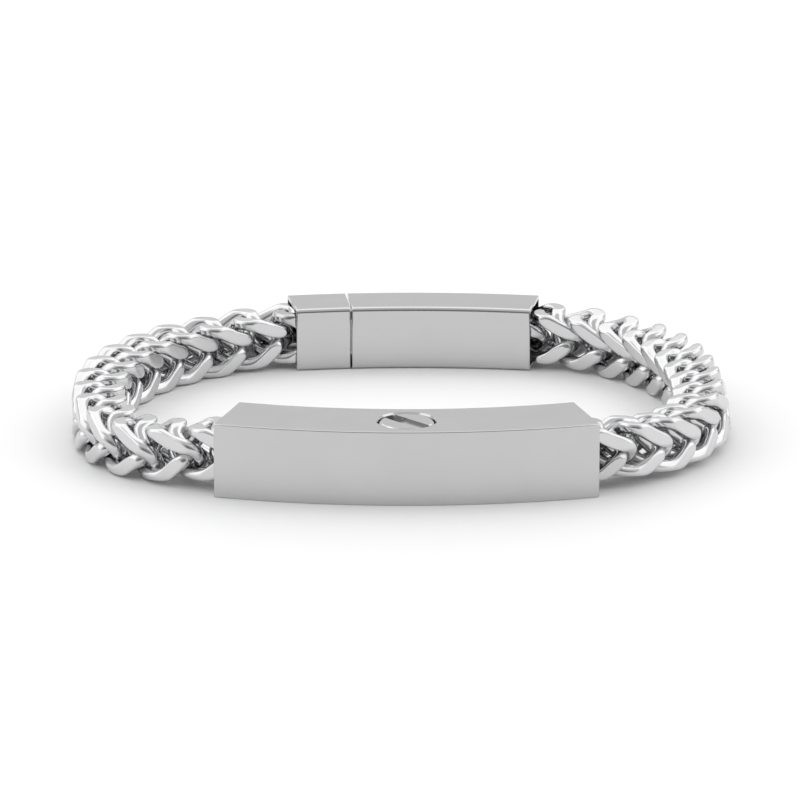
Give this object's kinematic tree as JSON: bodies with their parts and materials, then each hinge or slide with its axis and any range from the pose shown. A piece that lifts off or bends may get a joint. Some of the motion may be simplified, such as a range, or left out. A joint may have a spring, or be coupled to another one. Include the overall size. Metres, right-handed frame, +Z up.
{
  "type": "id bracelet",
  "caption": "Closed polished steel bracelet: a curved blank name plate with a slotted screw plug, square foxtail chains of interlocked rings and a curved box clasp.",
  "frame": {"origin": "on the table under the middle of the closed loop", "axes": "+Z up; -Y towards the outside of the name plate; +X along the name plate to its right as the wearer of the picture's view sees it"},
  "size_m": [0.0818, 0.0674, 0.0092],
  "materials": {
    "polished_steel": "polished"
  },
  "bodies": {
    "bracelet": {"id_plate": "polished_steel", "clasp_short": "polished_steel", "clasp_long": "polished_steel", "chain_left": "polished_steel", "chain_right": "polished_steel"},
    "plug": {"screw_plug": "polished_steel"}
  },
  "joints": [
    {"name": "plug_slide", "type": "slide", "parent": "bracelet", "child": "plug", "axis": [0, 0, 1], "range_m": [0, 0.007]}
  ]
}
